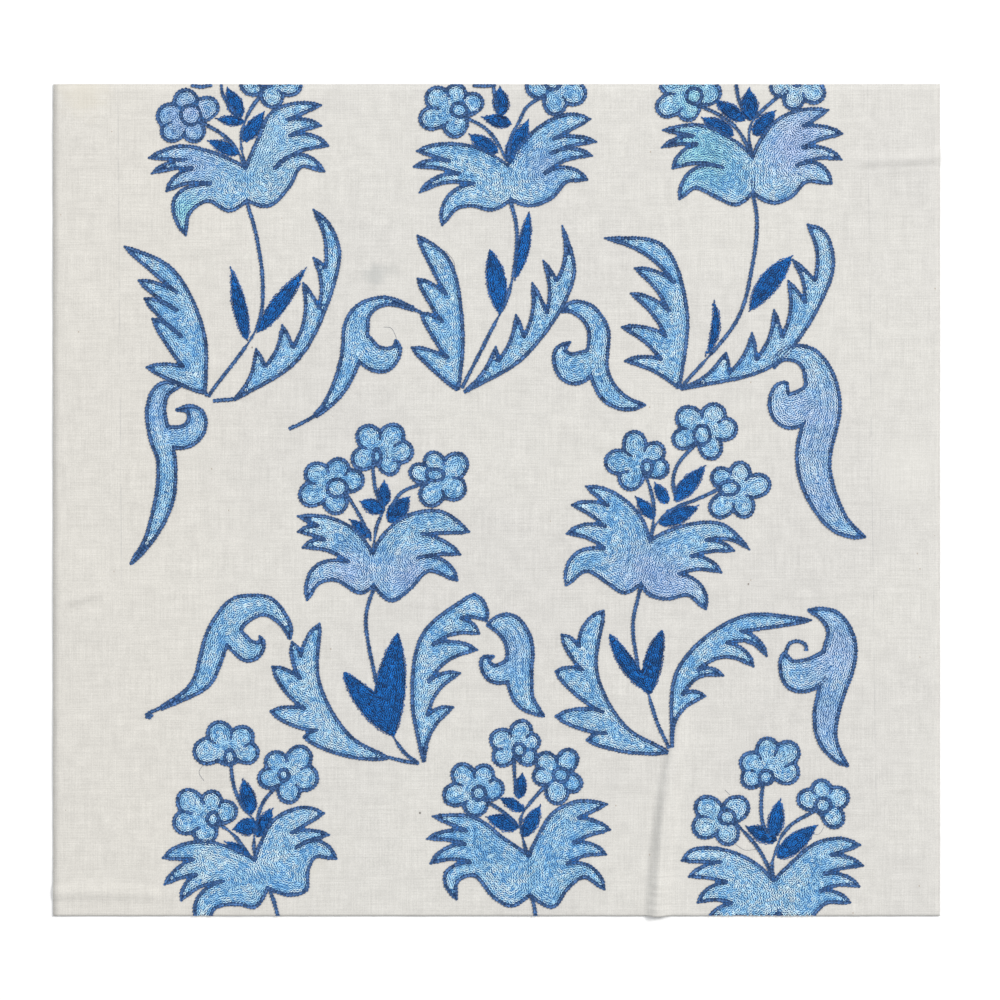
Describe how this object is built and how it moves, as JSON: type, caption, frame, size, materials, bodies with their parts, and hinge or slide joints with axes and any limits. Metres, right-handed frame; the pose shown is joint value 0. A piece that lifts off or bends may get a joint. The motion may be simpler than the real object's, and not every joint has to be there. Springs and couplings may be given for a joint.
{
  "type": "suzani embroidered textile",
  "caption": "Cut length of undyed cotton cloth lying flat with a soft fold, worked all over in blue chain stitch with flower sprays, serrated leaves and scrolls.",
  "frame": {"origin": "middle of the cloth, on the surface that it lies on", "axes": "+X across the cloth, +Y up the pattern, +Z out of the embroidered face"},
  "size_m": [0.46, 0.4314, 0.0048],
  "materials": {
    "undyed_cotton": "matte plain weave",
    "light_blue_thread": "soft sheen chain stitch",
    "dark_blue_thread": "soft sheen chain stitch"
  },
  "bodies": {
    "root": {"embroidered_cloth": "undyed_cotton"}
  },
  "joints": []
}
